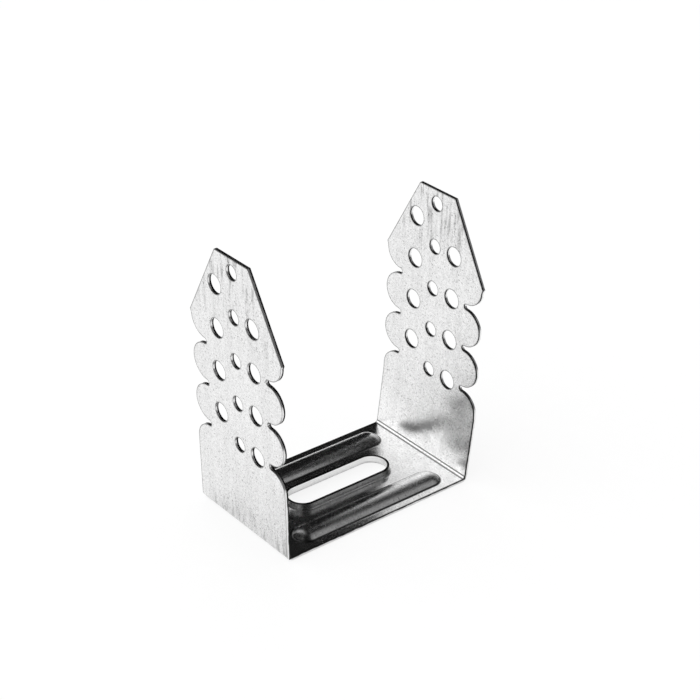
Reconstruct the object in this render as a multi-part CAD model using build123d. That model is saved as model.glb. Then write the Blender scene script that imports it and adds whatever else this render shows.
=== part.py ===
from build123d import *
from math import sin, cos, tan, radians
import os

# U bracket: one strip of zinc-coated steel, folded into a base and two upright legs.
# +Y runs along the base from leg to leg, +X across the strip, +Z up.
# The origin is on the underside of the base, at the middle of its slot.

# ---- sheet and folds -------------------------------------------------------
SHEET = 0.9                # thickness of the strip
FOLD_OUTER_R = 1.8         # outside radius of the two folds
LEANING_FOOT = 30.35       # outer face of the -Y leg, where it would meet the underside
LEAN = radians(2.5)        # that leg leans outward by this much
UPRIGHT_FACE = 30.35       # inner face of the +Y leg, which stands upright above its set
SET_LEAN = radians(6.0)    # below the set, the +Y leg leans outward by this much
SET_HEIGHT = 18.0          # height of that soft set above the underside
SET_R = 26.0               # its radius, on the outer face

# ---- outline of both legs --------------------------------------------------
PITCH = 12.0               # step from one row of holes, notches or lobes to the next
FIRST_ROW = 25.5           # lowest row of holes, level with the lowest pair of notches
NOTCH_PAIRS = 3
LOBE_R = 5.2               # round lobes between the notches
LOBE_LINE = 12.8           # lobe and notch centres, from the middle of the strip
TOP_HEIGHT = 77.2          # top edge of each leg
TOP_HALF = 6.6             # half the length of the flat top edge
SHOULDER_RISE = 0.8        # the shoulder tip, above the centre of the topmost lobe
SHOULDER_OUT = 0.35        # and how far it stands out past the lobes

# ---- holes in both legs ----------------------------------------------------
SMALL_HOLE_R = 2.0         # middle column
SMALL_HOLES = 5
LARGE_HOLE_R = 2.6         # the two outer columns
LARGE_HOLES = 4
COLUMN_OFFSET = 7.25       # outer columns, from the middle column

# ---- slot and ribs in the base ---------------------------------------------
SLOT_HALF_WIDTH = 4.0      # slot, inside its collar
SLOT_HALF_LENGTH = 15.7
COLLAR_HEIGHT = 1.85       # rim of the raised collar, above the top of the base
COLLAR_WALL = 0.6          # pressing the collar up thins its wall
COLLAR_FOOT_R = 0.8        # hollow round between the base and the collar
COLLAR_MOUTH_R = 1.4       # rolled-in edge of the slot underneath
RIB_LINE = 12.2            # middle of each pressed rib, from the middle of the strip
RIB_R = 4.3                # round back of the rib, on top of the sheet
RIB_HEIGHT = 1.9           # above the top of the base
RIB_REACH = 20.2           # centre of each ball-shaped end, from the middle of the rib
RIB_FOOT_R = 1.0           # hollow round where the rib rises from the base

# ---- values that follow from the ones above --------------------------------
STRIP_HALF = LOBE_LINE + LOBE_R
NOTCH_R = PITCH / 2 - LOBE_R
LOWEST_LOBE = FIRST_ROW - PITCH / 2
TOP_LOBE = FIRST_ROW + NOTCH_PAIRS * PITCH - PITCH / 2
UPRIGHT_OUTER = UPRIGHT_FACE + SHEET
RIB_AXIS_HEIGHT = SHEET + RIB_HEIGHT - RIB_R
BLANK_HALF = STRIP_HALF + SHOULDER_OUT
STRAIGHT_SIDE = LOWEST_LOBE - PITCH / 2    # plain straight sides begin above this height
SPARE = TOP_HEIGHT + PITCH     # longer than any leg, for cutting past an edge
CLOSE = SHEET / 100            # two heights this close are taken as the same

# Each leg has its own plane: its origin is where the leg's outer face would meet the
# underside, local x runs across the strip, local y up the leg, local z out of the leg.
LEANING_LEG = Plane(
    origin=(0, -LEANING_FOOT, 0),
    x_dir=(1, 0, 0),
    z_dir=(0, -cos(LEAN), -sin(LEAN)),
)
UPRIGHT_LEG = Plane(origin=(0, UPRIGHT_OUTER, 0), x_dir=(-1, 0, 0), z_dir=(0, 1, 0))


def folded_strip():
    """The plain strip: base, two folds, and the soft set low in the +Y leg."""
    foot = UPRIGHT_OUTER - SET_HEIGHT * tan(SET_LEAN)
    outer_line = FilletPolyline(
        (-LEANING_FOOT - SPARE * sin(LEAN), SPARE * cos(LEAN)),
        (-LEANING_FOOT, 0),
        (foot, 0),
        (UPRIGHT_OUTER, SET_HEIGHT),
        (UPRIGHT_OUTER, SPARE),
        radius=(FOLD_OUTER_R, FOLD_OUTER_R, SET_R),
    )
    side_view = make_face(offset(outer_line, SHEET, side=Side.LEFT, closed=True))
    return extrude(Plane.YZ * side_view, BLANK_HALF, both=True)


def lobe(height):
    """One round lobe of the edge, a half circle standing out from the lobe line."""
    return CenterArc((LOBE_LINE, height), LOBE_R, -90, 180)


def notch(height):
    """One small round notch, a half circle let in from the lobe line."""
    return CenterArc((LOBE_LINE, height), NOTCH_R, 90, 180)


def half_outline():
    """One side of the leg's edge, from the full width up to the middle of the top."""
    edge = [Line((STRIP_HALF, STRAIGHT_SIDE), (STRIP_HALF, LOWEST_LOBE))]
    edge.append(CenterArc((LOBE_LINE, LOWEST_LOBE), LOBE_R, 0, 90))
    for row in range(NOTCH_PAIRS):
        height = FIRST_ROW + row * PITCH
        edge.append(notch(height))
        if row < NOTCH_PAIRS - 1:
            edge.append(lobe(height + PITCH / 2))
    edge.append(CenterArc((LOBE_LINE, TOP_LOBE), LOBE_R, -90, 90))
    edge.append(
        Polyline(
            (STRIP_HALF, TOP_LOBE),
            (STRIP_HALF + SHOULDER_OUT, TOP_LOBE + SHOULDER_RISE),
            (TOP_HALF, TOP_HEIGHT),
            (0, TOP_HEIGHT),
        )
    )
    return Curve() + edge


def leg_shape():
    """Flat shape of a leg: straight sides, lobes, notches, shoulders and top."""
    side = half_outline()
    other_side = mirror(side, about=Plane.YZ)
    foot = Line((-STRIP_HALF, STRAIGHT_SIDE), (STRIP_HALF, STRAIGHT_SIDE))
    return make_face(side.edges() + other_side.edges() + foot.edges())


def leg_scrap(leg):
    """Everything the press trims off one leg, as a block across the sheet."""
    width = 2 * SPARE
    blank = Pos(0, STRAIGHT_SIDE) * Rectangle(width, width, align=(Align.CENTER, Align.MIN))
    return extrude(leg * (blank - leg_shape()), FOLD_OUTER_R, both=True)


def side_scrap(side):
    """The strip trimmed to its finished width along the base and the foot of each leg."""
    outside = Pos(side * STRIP_HALF, 0, LOWEST_LOBE - PITCH / 4)
    across = Align.MIN if side > 0 else Align.MAX
    return outside * Box(PITCH, 2 * SPARE, SPARE, align=(across, Align.CENTER, Align.MAX))


def hole_column(leg, across, first, count, radius):
    """A column of round holes up one leg, one pitch apart."""
    pins = []
    for row in range(count):
        spot = leg * Pos(across, first + row * PITCH)
        pins.append(spot * Cylinder(radius, 2 * FOLD_OUTER_R))
    return pins


def leg_holes(leg, side):
    """Three columns: small in the middle, large each side, one of them half a step up."""
    middle = hole_column(leg, 0, FIRST_ROW, SMALL_HOLES, SMALL_HOLE_R)
    level = hole_column(leg, side * COLUMN_OFFSET, FIRST_ROW, LARGE_HOLES, LARGE_HOLE_R)
    raised_row = FIRST_ROW + PITCH / 2
    raised = hole_column(leg, -side * COLUMN_OFFSET, raised_row, LARGE_HOLES, LARGE_HOLE_R)
    return middle + level + raised


def slot_shape(half_length, half_width):
    """A round-ended slot along the base, centred on the origin."""
    return Rot(Z=90) * SlotOverall(2 * half_length, 2 * half_width)


def edges_near(body, height, centre_x, half_width):
    """Edges lying at one height within a band of the base, for rounding them."""
    found = body.edges().filter_by(
        lambda e: abs(e.bounding_box().min.Z - height) < CLOSE
        and abs(e.bounding_box().max.Z - height) < CLOSE
    )
    return found.filter_by(lambda e: abs(e.center().X - centre_x) < half_width)


def add_collar(body):
    """Slot with its rim pressed up into a collar, rounded at its foot and its mouth."""
    outer_length = SLOT_HALF_LENGTH + COLLAR_WALL
    outer_width = SLOT_HALF_WIDTH + COLLAR_WALL
    body += extrude(slot_shape(outer_length, outer_width), SHEET + COLLAR_HEIGHT)
    body = fillet(edges_near(body, SHEET, 0, outer_width + COLLAR_FOOT_R), COLLAR_FOOT_R)
    opening = slot_shape(SLOT_HALF_LENGTH, SLOT_HALF_WIDTH)
    body -= extrude(opening, SHEET + COLLAR_HEIGHT)
    return fillet(edges_near(body, 0, 0, outer_width), COLLAR_MOUTH_R)


def rib_bar(centre_x, radius):
    """A round bar with ball ends that shapes one rib, its axis under the base."""
    axis = Pos(centre_x, 0, RIB_AXIS_HEIGHT)
    bar = Rot(X=90) * Cylinder(radius, 2 * RIB_REACH)
    ends = [Pos(0, side * RIB_REACH) * Sphere(radius) for side in (-1, 1)]
    return axis * (bar + ends)


def add_rib(body, centre_x):
    """A stiffening rib pressed up out of the base, with a matching hollow underneath."""
    above = Pos(0, 0, SHEET) * extrude(Rectangle(2 * SPARE, 2 * SPARE), SPARE)
    body += rib_bar(centre_x, RIB_R) & above
    body = fillet(edges_near(body, SHEET, centre_x, RIB_R), RIB_FOOT_R)
    body -= rib_bar(centre_x, RIB_R - SHEET)
    return fillet(edges_near(body, 0, centre_x, RIB_R), RIB_FOOT_R + SHEET)


def bracket():
    """The whole U bracket, one folded and pressed sheet."""
    body = folded_strip()
    body = add_collar(body)
    for centre_x in (-RIB_LINE, RIB_LINE):
        body = add_rib(body, centre_x)
    for side in (-1, 1):
        body -= side_scrap(side)
    for leg in (LEANING_LEG, UPRIGHT_LEG):
        body -= leg_scrap(leg)
    body -= leg_holes(LEANING_LEG, 1)
    body -= leg_holes(UPRIGHT_LEG, -1)
    return body


os.makedirs("parts", exist_ok=True)
result = bracket()
print("solids", len(result.solids()), "volume mm3", round(result.volume, 1))
print("box", result.bounding_box())
export_step(result, "parts/bracket.step")
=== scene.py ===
# %% [markdown]
# # U bracket, dressed for a studio picture
# The bracket is one strip of zinc-coated steel, punched, pressed and folded.
# Its whole shape already comes from the CAD frame, so nothing is modelled again here:
# what Blender adds is the metal itself, the light that metal needs, and a camera.
# Metal has almost no colour of its own. What the eye reads as steel is the room
# mirrored in it, so half of this notebook is about what the sheet can see.

import math

import bpy
from mathutils import Matrix, Vector


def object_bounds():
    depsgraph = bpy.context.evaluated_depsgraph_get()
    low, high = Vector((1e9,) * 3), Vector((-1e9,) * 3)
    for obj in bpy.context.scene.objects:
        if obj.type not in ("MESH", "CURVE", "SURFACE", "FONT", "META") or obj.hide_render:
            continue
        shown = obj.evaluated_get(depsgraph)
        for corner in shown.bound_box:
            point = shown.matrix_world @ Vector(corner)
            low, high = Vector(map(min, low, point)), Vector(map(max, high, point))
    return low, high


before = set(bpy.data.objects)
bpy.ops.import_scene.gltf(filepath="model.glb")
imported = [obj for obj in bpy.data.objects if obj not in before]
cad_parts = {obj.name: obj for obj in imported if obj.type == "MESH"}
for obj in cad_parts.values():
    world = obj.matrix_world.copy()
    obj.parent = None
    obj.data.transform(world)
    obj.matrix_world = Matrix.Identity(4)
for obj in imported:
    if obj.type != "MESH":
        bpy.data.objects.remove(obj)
cad_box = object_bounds()
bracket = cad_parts["bracket"]
print("bracket box in metres:", cad_box)

# %% [markdown]
# ## The sizes the finish depends on
# A punched edge is two-tone: the punch burnishes part of the thickness and tears the
# rest. To paint that, the material has to know how deep in the sheet a point lies, and
# for that it needs the planes of the outer faces. The values below repeat the folded
# shape's own, or lie just outside them where a mask has to reach a little past a form.
# The frame is in metres, so each millimetre value is multiplied by MM.

# %% Sizes of the folded sheet
MM = 0.001
sheet = 0.9 * MM
lean = math.radians(2.5)
set_lean = math.radians(6.0)
leaning_foot = 30.35 * MM
upright_outer = 31.25 * MM
set_height = 18.0 * MM
strip_half = 18.0 * MM
collar_top = 2.75 * MM
collar_half = 5.5 * MM
inside_collar = 4.3 * MM
past_slot_end = 16.5 * MM
rib_inner = 8.0 * MM
rib_reach = 26.0 * MM
fold_from = 27.6 * MM
print(f"sheet {sheet / MM:.1f} mm, strip {2 * strip_half / MM:.0f} mm wide")

# %% Planes of the outer faces
set_foot = upright_outer - set_height * math.tan(set_lean)
outer_planes = {
    "leaning leg": (
        Vector((0, -leaning_foot, 0)),
        Vector((0, math.cos(lean), math.sin(lean))),
    ),
    "upright leg": (Vector((0, upright_outer, 0)), Vector((0, -1, 0))),
    "foot of the upright leg": (
        Vector((0, set_foot, 0)),
        Vector((0, -math.cos(set_lean), math.sin(set_lean))),
    ),
}
for name, (point, inward) in outer_planes.items():
    print(f"{name}: outer face meets the ground at y = {point.y / MM:.2f} mm")

# %% [markdown]
# ## Small helpers for building node trees
# Node graphs read badly when every link is spelled out, so these helpers make one node,
# connect what it is given, and hand back its output. A number goes straight into a
# socket; another node's output is linked to it.


# %% Helpers for numbers
def feed(tree, socket, value):
    if isinstance(value, bpy.types.NodeSocket):
        tree.links.new(value, socket)
    else:
        socket.default_value = value


def math_node(tree, operation, a, b=0.0):
    node = tree.nodes.new("ShaderNodeMath")
    node.operation = operation
    feed(tree, node.inputs[0], a)
    feed(tree, node.inputs[1], b)
    return node.outputs[0]


def product(tree, first, *others):
    for other in others:
        first = math_node(tree, "MULTIPLY", first, other)
    return first


def size_of(tree, value):
    return math_node(tree, "ABSOLUTE", value)


def ramp(tree, value, low, high, out_low=0.0, out_high=1.0):
    """A smooth step from out_low at low to out_high at high."""
    node = tree.nodes.new("ShaderNodeMapRange")
    node.interpolation_type = "SMOOTHSTEP"
    feed(tree, node.inputs["Value"], value)
    node.inputs["From Min"].default_value = low
    node.inputs["From Max"].default_value = high
    node.inputs["To Min"].default_value = out_low
    node.inputs["To Max"].default_value = out_high
    return node.outputs["Result"]


def between(tree, value, rise_from, rise_to, fall_from, fall_to):
    """One inside a range of values, fading out at both of its ends."""
    return product(
        tree, ramp(tree, value, rise_from, rise_to), ramp(tree, value, fall_to, fall_from)
    )


print("number helpers ready")


# %% Helpers for vectors, colours and patterns
def dot(tree, a, b):
    node = tree.nodes.new("ShaderNodeVectorMath")
    node.operation = "DOT_PRODUCT"
    feed(tree, node.inputs[0], a)
    feed(tree, node.inputs[1], b)
    return node.outputs["Value"]


def blend_values(tree, factor, a, b):
    node = tree.nodes.new("ShaderNodeMix")
    node.data_type = "FLOAT"
    feed(tree, node.inputs[0], factor)
    feed(tree, node.inputs[2], a)
    feed(tree, node.inputs[3], b)
    return node.outputs[0]


def grey(tree, value):
    node = tree.nodes.new("ShaderNodeCombineColor")
    for socket in node.inputs[:3]:
        feed(tree, socket, value)
    return node.outputs[0]


def noise(tree, place, scale, detail=2.0, roughness=0.5, stretch=(1.0, 1.0, 1.0)):
    mapping = tree.nodes.new("ShaderNodeMapping")
    mapping.inputs["Scale"].default_value = stretch
    feed(tree, mapping.inputs["Vector"], place)
    node = tree.nodes.new("ShaderNodeTexNoise")
    node.inputs["Scale"].default_value = scale
    node.inputs["Detail"].default_value = detail
    node.inputs["Roughness"].default_value = roughness
    tree.links.new(mapping.outputs[0], node.inputs["Vector"])
    return node.outputs["Fac"]


def new_tree(name):
    material = bpy.data.materials.new(name)
    material.use_nodes = True
    tree = material.node_tree
    return material, tree, tree.nodes["Principled BSDF"]


print("colour and pattern helpers ready")

# %% [markdown]
# ## Zinc-coated sheet
# Hot-dip zinc on cold-rolled strip is bright but not polished: a fine grain all over,
# faint lines along the rolling direction, and duller patches where the sheet was bent
# or slid against a tool. It could be one flat metal, but the tool marks are what makes
# a pressed part look pressed. Beside them, some light and shade is painted into the tone:
# a sheen in the folds and on the slot wall, dark lines at the folds and rib feet, and a
# dark hairline along the edges. One shader carries all of them, with masks that follow
# the shape, so the finish stays put from every side.

# %% Place and facing of each point
zinc, tree, shader = new_tree("zinc_coated_steel")
coords = tree.nodes.new("ShaderNodeTexCoord")
place = coords.outputs["Object"]
where = tree.nodes.new("ShaderNodeSeparateXYZ")
tree.links.new(place, where.inputs[0])
facing = tree.nodes.new("ShaderNodeSeparateXYZ")
tree.links.new(coords.outputs["Normal"], facing.inputs[0])
x, y, z = where.outputs
facing_x, facing_y, facing_z = facing.outputs
from_middle = size_of(tree, x)
along_base = size_of(tree, y)
turned_out = product(tree, y, facing_y)
print("the finish follows the place and facing of", bracket.name)


# %% [markdown]
# ## Depth in the sheet
# The distance in from an outer face is a dot product with that face's inward normal.
# A point belongs to whichever face it is nearest, so the smallest distance is the depth.
# Divided by the thickness it runs from 0 on the outside to 1 on the inside.


# %% Depth in the sheet
def depth_below(plane):
    point, inward = outer_planes[plane]
    offset = tree.nodes.new("ShaderNodeVectorMath")
    offset.operation = "SUBTRACT"
    feed(tree, offset.inputs[0], place)
    feed(tree, offset.inputs[1], point)
    return dot(tree, offset.outputs["Vector"], inward)


depth = z
for plane in outer_planes:
    depth = math_node(tree, "MINIMUM", depth, depth_below(plane))
through = math_node(tree, "DIVIDE", depth, sheet)
print("depth is measured from the base and", len(outer_planes), "leg planes")

# %% [markdown]
# ## Cut edges
# Three kinds of surface show the bare thickness: the outline and hole walls of the
# legs, which face along neither leg normal; the straight sides of the strip; and the
# rim of the collar, cut before it was drawn up.

# %% Cut edges
on_leg = ramp(tree, z, 4 * MM, 5 * MM)
leg_edge = product(tree, ramp(tree, size_of(tree, facing_y), 0.45, 0.25), on_leg)
at_side = ramp(tree, from_middle, strip_half - 0.3 * MM, strip_half - 0.1 * MM)
side_edge = product(tree, ramp(tree, size_of(tree, facing_x), 0.9, 0.97), at_side)
rim_edge = product(
    tree,
    ramp(tree, z, collar_top - 0.1 * MM, collar_top - 0.02 * MM),
    ramp(tree, from_middle, collar_half, collar_half - 0.2 * MM),
    ramp(tree, along_base, 25 * MM, 24 * MM),
)
cut_edge = math_node(tree, "MAXIMUM", leg_edge, side_edge)
cut_edge = math_node(tree, "MAXIMUM", cut_edge, rim_edge)
print("cut edges: leg outlines and holes, strip sides, collar rim")

# %% [markdown]
# ## Painted dark lines at the folds and rib feet
# The bracket shows a thin dark line where each fold starts, another where it ends, and
# one around the feet of the ribs. The lines at the folds are the dark room mirrored in a
# curve too tight for a soft finish to show, so they are a painted reflection. The line
# round the feet of the ribs is painted shade in the crease there. They are no part of
# the shape, so they are painted as a darker tone.
# The facing finds the ends of the fold, and the height finds the foot of a rib.

# %% Fold lines and rib feet, painted dark
# Painted reflection: a dark line where each fold starts and where it ends.
at_fold = product(
    tree, ramp(tree, along_base, fold_from, fold_from + 0.3 * MM), ramp(tree, facing_z, 0.05, 0.12)
)
fold_start = product(tree, ramp(tree, facing_z, 0.9995, 0.992), ramp(tree, facing_z, 0.90, 0.96))
fold_end = between(tree, facing_z, 0.13, 0.2, 0.40, 0.48)
painted_fold_reflection = product(tree, math_node(tree, "MAXIMUM", fold_start, fold_end), at_fold)

beside_slot = product(
    tree,
    ramp(tree, from_middle, rib_inner - 0.4 * MM, rib_inner),
    ramp(tree, along_base, rib_reach + 0.5 * MM, rib_reach),
)
# Painted shade: a dark line round the feet of the ribs.
painted_rib_shade = product(
    tree,
    between(tree, z, 0.903 * MM, 0.93 * MM, 1.08 * MM, 1.25 * MM),
    beside_slot,
)
# One mask for the painted dark lines: painted reflection at the folds, painted shade at the ribs.
painted_dark_line = math_node(tree, "MAXIMUM", painted_fold_reflection, painted_rib_shade)
print("tool lines: two along each fold, one around each rib")

# %% [markdown]
# ## Rolled edge, painted as a dark hairline
# Punching drags the face down a little at every edge. That roll is not in the shape, so
# the shade on it is painted as a darker hairline round each hole and outline. Rays of
# ambient occlusion sent into the metal find it: far from an edge they meet nothing
# within their short reach, and near one they come out.

# %% Rolled edge
roll = tree.nodes.new("ShaderNodeAmbientOcclusion")
roll.inside = True
roll.only_local = True
roll.samples = 8
roll.inputs["Distance"].default_value = 0.35 * MM
# Painted shade: a darker hairline where the rays come out near an edge.
painted_roll_shade = ramp(tree, roll.outputs["AO"], 0.97, 0.70)
print(f"edges are rolled over {roll.inputs['Distance'].default_value / MM:.2f} mm")

# %% [markdown]
# ## Rubbed places and painted sheen
# The tops of the legs and the outsides of the folds carry fine upright scuffs. The
# inside of the folds and the wall of the slot look brighter than the rest. Light that
# bounces between the faces gives part of that. The tone is raised for what is left, as
# a painted sheen of reflected light on the flat near the folds and inside the feet of
# the legs, and as a near-white painted reflection on the slot wall. The tone is raised
# for what is left, as a surface pressed smooth by a tool would be, though the real
# cause isn't known.

# %% Rubbed places and painted sheen
rubbed_top = ramp(tree, z, 50 * MM, 74 * MM)
outside = ramp(tree, turned_out, 5 * MM, 20 * MM)
rubbed_bend = product(tree, ramp(tree, z, 9 * MM, 2.5 * MM), outside)
rubbed = math_node(tree, "MAXIMUM", rubbed_top, rubbed_bend)

# Painted sheen: a lighter tone on the flat near the folds and inside the feet of the legs.
base_painted_sheen = product(
    tree, ramp(tree, along_base, 11 * MM, 20 * MM), ramp(tree, facing_z, 0.97, 0.999)
)
inside = ramp(tree, turned_out, -5 * MM, -20 * MM)
foot_painted_sheen = product(tree, inside, ramp(tree, z, 15 * MM, 5 * MM))
painted_sheen = math_node(tree, "MAXIMUM", base_painted_sheen, foot_painted_sheen)

# Painted reflection: the slot wall takes a near-white tone, as if it mirrored the white floor.
painted_slot_reflection = product(
    tree,
    ramp(tree, from_middle, inside_collar + 0.2 * MM, inside_collar),
    ramp(tree, size_of(tree, facing_z), 0.4, 0.2),
    ramp(tree, along_base, past_slot_end + 0.5 * MM, past_slot_end),
)
print("rubbed: tops and outer bends; burnished: inner folds and slot wall")

# %% [markdown]
# ## Grain, tone and gloss
# Noise at several scales gives the zinc its grain. The finest sets the sparkle of the
# crystals, a thresholded copy makes dark pits, one stretched along the strip makes
# rolling lines, and slow mottle varies the gloss so that reflections waver a little.

# %% Grain of the zinc
crystals = noise(tree, place, 1900, 3.0, 0.65)
pits = noise(tree, place, 2300, 1.0, 0.5)
mottle = noise(tree, place, 320, 3.0, 0.6)
cloud = noise(tree, place, 60, 2.0, 0.5)
rolling_lines = noise(tree, place, 420, 2.0, 0.5, stretch=(1.0, 1.0, 0.07))
scuffs = noise(tree, place, 900, 3.0, 0.6, stretch=(1.0, 1.0, 0.12))

tone = ramp(tree, crystals, 0.3, 0.7, 0.72, 0.90)
tone = math_node(tree, "ADD", tone, ramp(tree, rolling_lines, 0.35, 0.65, -0.03, 0.02))
tone = math_node(tree, "SUBTRACT", tone, ramp(tree, pits, 0.60, 0.72, 0.0, 0.35))
scuffed = product(tree, rubbed, ramp(tree, scuffs, 0.48, 0.68), 0.35)
tone = math_node(tree, "SUBTRACT", tone, scuffed)
print("grain made of crystals, pits, rolling lines and scuffs")

# %% Painted sheen, painted dark lines and painted edge shade over the grain
# Painted sheen: the tone is raised in the inner folds and the feet of the legs.
tone = math_node(tree, "ADD", tone, product(tree, painted_sheen, 0.12))
# Painted reflection along the folds and painted shade round the ribs, as a near-black tone.
tone = blend_values(tree, product(tree, painted_dark_line, 0.85), tone, 0.08)
# Painted shade along the rolled edges, as a darker hairline.
tone = blend_values(tree, product(tree, painted_roll_shade, 0.8), tone, 0.10)
# Painted reflection on the slot wall, as a near-white tone.
tone = blend_values(tree, painted_slot_reflection, tone, 0.96)

ragged = ramp(tree, mottle, 0.3, 0.7, -0.1, 0.1)
torn = ramp(tree, math_node(tree, "ADD", through, ragged), 0.50, 0.60)
edge_tone = blend_values(tree, torn, 0.85, 0.02)
tone = blend_values(tree, cut_edge, tone, edge_tone)
feed(tree, shader.inputs["Base Color"], grey(tree, tone))
# Bright in the folds and dark along the lines is painted sheen, painted reflection and painted
# shade; the torn edges are the metal's own tone.
print("tone: bright in the folds, dark along tool lines and torn edges")

# %% Gloss and bump
gloss = math_node(
    tree, "ADD", ramp(tree, mottle, 0.3, 0.7, 0.21, 0.28), ramp(tree, cloud, 0.3, 0.7, -0.02, 0.03)
)
edge_roughness = blend_values(tree, torn, 0.35, 0.6)
feed(tree, shader.inputs["Roughness"], blend_values(tree, cut_edge, gloss, edge_roughness))
shader.inputs["Metallic"].default_value = 1.0

bump = tree.nodes.new("ShaderNodeBump")
bump.inputs["Strength"].default_value = 0.25
bump.inputs["Distance"].default_value = 0.02 * MM
tree.links.new(crystals, bump.inputs["Height"])
tree.links.new(bump.outputs[0], shader.inputs["Normal"])
bracket.material_slots[0].material = zinc
print("zinc material has", len(tree.nodes), "nodes")

# %% [markdown]
# ## Floor
# A white table top. Its paper grain is real shading, but most of what the camera sees
# is a plain white glow, so the picture keeps a white ground with only a light shadow.
# The metal sees a little of that glow too, and otherwise the table as it is lit.

# %% Floor
floor_radius = 0.7
bpy.ops.mesh.primitive_circle_add(
    vertices=96, radius=floor_radius, fill_type="NGON", location=(0, 0, cad_box[0][2])
)
floor = bpy.context.object
floor.name = "floor"
table, table_tree, table_shader = new_tree("white_table")
table_place = table_tree.nodes.new("ShaderNodeTexCoord").outputs["Object"]
paper = ramp(table_tree, noise(table_tree, table_place, 180, 2.0), 0.3, 0.7, 0.87, 0.89)
feed(table_tree, table_shader.inputs["Base Color"], grey(table_tree, paper))
table_shader.inputs["Roughness"].default_value = 0.9
table_shader.inputs["Specular IOR Level"].default_value = 0.1
floor.data.materials.append(table)
print(f"table top {2 * floor_radius:.1f} m across")

# %% White glow of the floor
glow = table_tree.nodes.new("ShaderNodeEmission")
glow.inputs["Strength"].default_value = 1.0
ray = table_tree.nodes.new("ShaderNodeLightPath")
glow_share = math_node(
    table_tree,
    "ADD",
    product(table_tree, ray.outputs["Is Camera Ray"], 0.85),
    product(table_tree, ray.outputs["Is Glossy Ray"], 0.3),
)
surface = table_tree.nodes.new("ShaderNodeMixShader")
table_tree.links.new(glow_share, surface.inputs[0])
table_tree.links.new(table_shader.outputs[0], surface.inputs[1])
table_tree.links.new(glow.outputs[0], surface.inputs[2])
table_tree.links.new(surface.outputs[0], table_tree.nodes["Material Output"].inputs["Surface"])
print("glow shared between what the camera and the metal see")

# %% [markdown]
# ## Camera
# Seen from above and to one corner, with a long lens, as a catalogue would show it.
# The camera is placed by what it looks at, how far it is turned and raised, how far
# away it stands, and a slight roll. Those say more than a bare position would.

# %% Camera
aim = Vector((-12.165, 13.22, 31.594)) * MM
turn = math.radians(49.962)
rise = math.radians(29.421)
roll_angle = math.radians(1.512)
distance = 459.346 * MM

away = Vector(
    (math.sin(turn) * math.cos(rise), -math.cos(turn) * math.cos(rise), math.sin(rise))
)
level = Vector((0, 0, 1)).cross(away).normalized()
upward = away.cross(level)
right = level * math.cos(roll_angle) + upward * math.sin(roll_angle)
top = upward * math.cos(roll_angle) - level * math.sin(roll_angle)

camera_data = bpy.data.cameras.new("camera")
camera_data.sensor_width = 36.0
camera_data.lens = 89.885
camera_data.clip_start = 0.01
camera = bpy.data.objects.new("camera", camera_data)
bpy.context.collection.objects.link(camera)
placing = Matrix((right, top, away)).transposed().to_4x4()
placing.translation = aim + away * distance
camera.matrix_world = placing
bpy.context.scene.camera = camera
print(f"camera {distance / MM:.0f} mm from the bracket, raised {math.degrees(rise):.0f} degrees")

# %% [markdown]
# ## Light
# Zinc sheet has no look of its own, only what it mirrors, so the room is built for it.
# It could be done with area lamps, but a lamp also leaves a hot spot and noise in every
# rough reflection. Here the room is painted straight onto the world as a few soft
# panels on a dark ground: one tall soft box to the left, its weaker neighbour, and two
# faint pale patches to the right. Only the metal sees them. The matt table is lit by a
# broad light that is stronger from the left, so that it gets a soft shadow.

# %% Directions in the room
ahead = Vector((-away.x, -away.y, 0)).normalized()
to_right = Vector((right.x, right.y, 0)).normalized()


def toward(turn_right, height):
    """A direction, in degrees right of straight ahead and above the table."""
    turned = math.radians(turn_right)
    raised = math.radians(height)
    flat = ahead * math.cos(turned) + to_right * math.sin(turned)
    return flat * math.cos(raised) + Vector((0, 0, math.sin(raised)))


print("straight ahead is", tuple(round(v, 3) for v in ahead))

# %% A soft panel
world = bpy.data.worlds.new("studio")
bpy.context.scene.world = world
world.use_nodes = True
sky = world.node_tree
sky.nodes.clear()
direction = sky.nodes.new("ShaderNodeTexCoord").outputs["Generated"]


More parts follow.
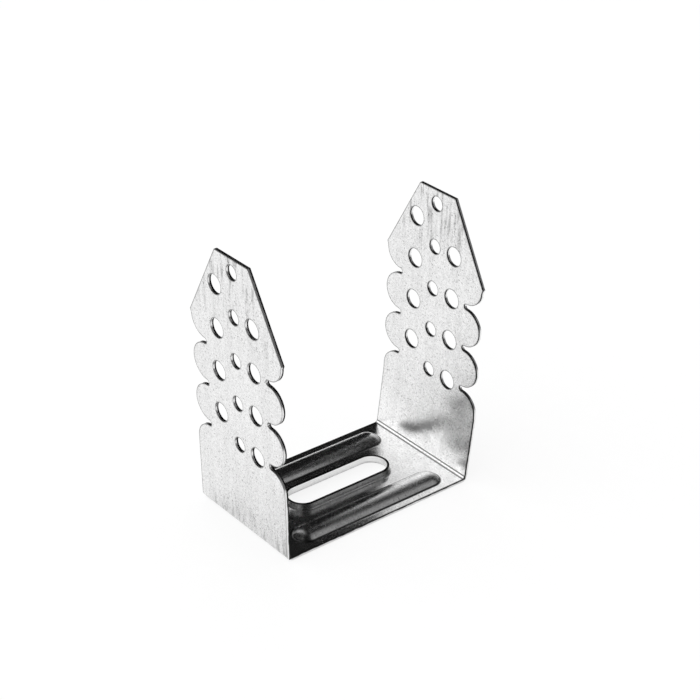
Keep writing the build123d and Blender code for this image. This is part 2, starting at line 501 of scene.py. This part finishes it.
def soft_panel(turn_right, height, half_wide, half_tall, strength):
    """Light from an oval panel, in degrees, that fades toward its edge."""
    middle = toward(turn_right, height)
    across = toward(turn_right + 90, 0)
    along = middle.cross(across)
    wide = dot(sky, direction, across / math.sin(math.radians(half_wide)))
    tall = dot(sky, direction, along / math.sin(math.radians(half_tall)))
    square = math_node(sky, "ADD", product(sky, wide, wide), product(sky, tall, tall))
    panel = ramp(sky, math_node(sky, "SQRT", square), 1.8, 0.2, 0.0, strength)
    in_front = ramp(sky, dot(sky, direction, middle), 0.0, 0.05)
    return product(sky, panel, in_front)


panels = {
    "tall soft box": (-72, 31, 18, 33, 1.25),
    "its weaker neighbour": (-104, 24, 20, 16, 0.75),
    "pale patch high on the right": (93, 38, 19, 17, 0.30),
    "pale patch low on the right": (60, 8, 34, 10, 0.30),
}
dark_room = 0.01
room_light = dark_room
for panel in panels.values():
    room_light = math_node(sky, "ADD", room_light, soft_panel(*panel))
print("panels in the room:", ", ".join(panels))


# %% [markdown]
# ## What each kind of ray sees
# The world is asked by three kinds of ray. The camera gets white. A ray mirrored by the
# metal gets the dark room with its panels. A ray scattered by the matt table gets the
# broad light. Light Path tells them apart.


# %% World
def background(strength):
    node = sky.nodes.new("ShaderNodeBackground")
    node.inputs["Color"].default_value = (1, 1, 1, 1)
    feed(sky, node.inputs["Strength"], strength)
    return node.outputs[0]


def choose(kind_of_ray, otherwise, chosen):
    node = sky.nodes.new("ShaderNodeMixShader")
    sky.links.new(kind_of_ray, node.inputs[0])
    sky.links.new(otherwise, node.inputs[1])
    sky.links.new(chosen, node.inputs[2])
    return node.outputs[0]


broad_light = ramp(sky, dot(sky, direction, toward(-80, 40)), -0.1, 0.95, 0.35, 1.95)
path = sky.nodes.new("ShaderNodeLightPath")
room = choose(path.outputs["Is Glossy Ray"], background(broad_light), background(room_light))
picture = choose(path.outputs["Is Camera Ray"], room, background(1.0))
out = sky.nodes.new("ShaderNodeOutputWorld")
sky.links.new(picture, out.inputs["Surface"])
world.cycles.sampling_method = "NONE"
bpy.context.scene.view_settings.view_transform = "Standard"
print("world has", len(sky.nodes), "nodes")
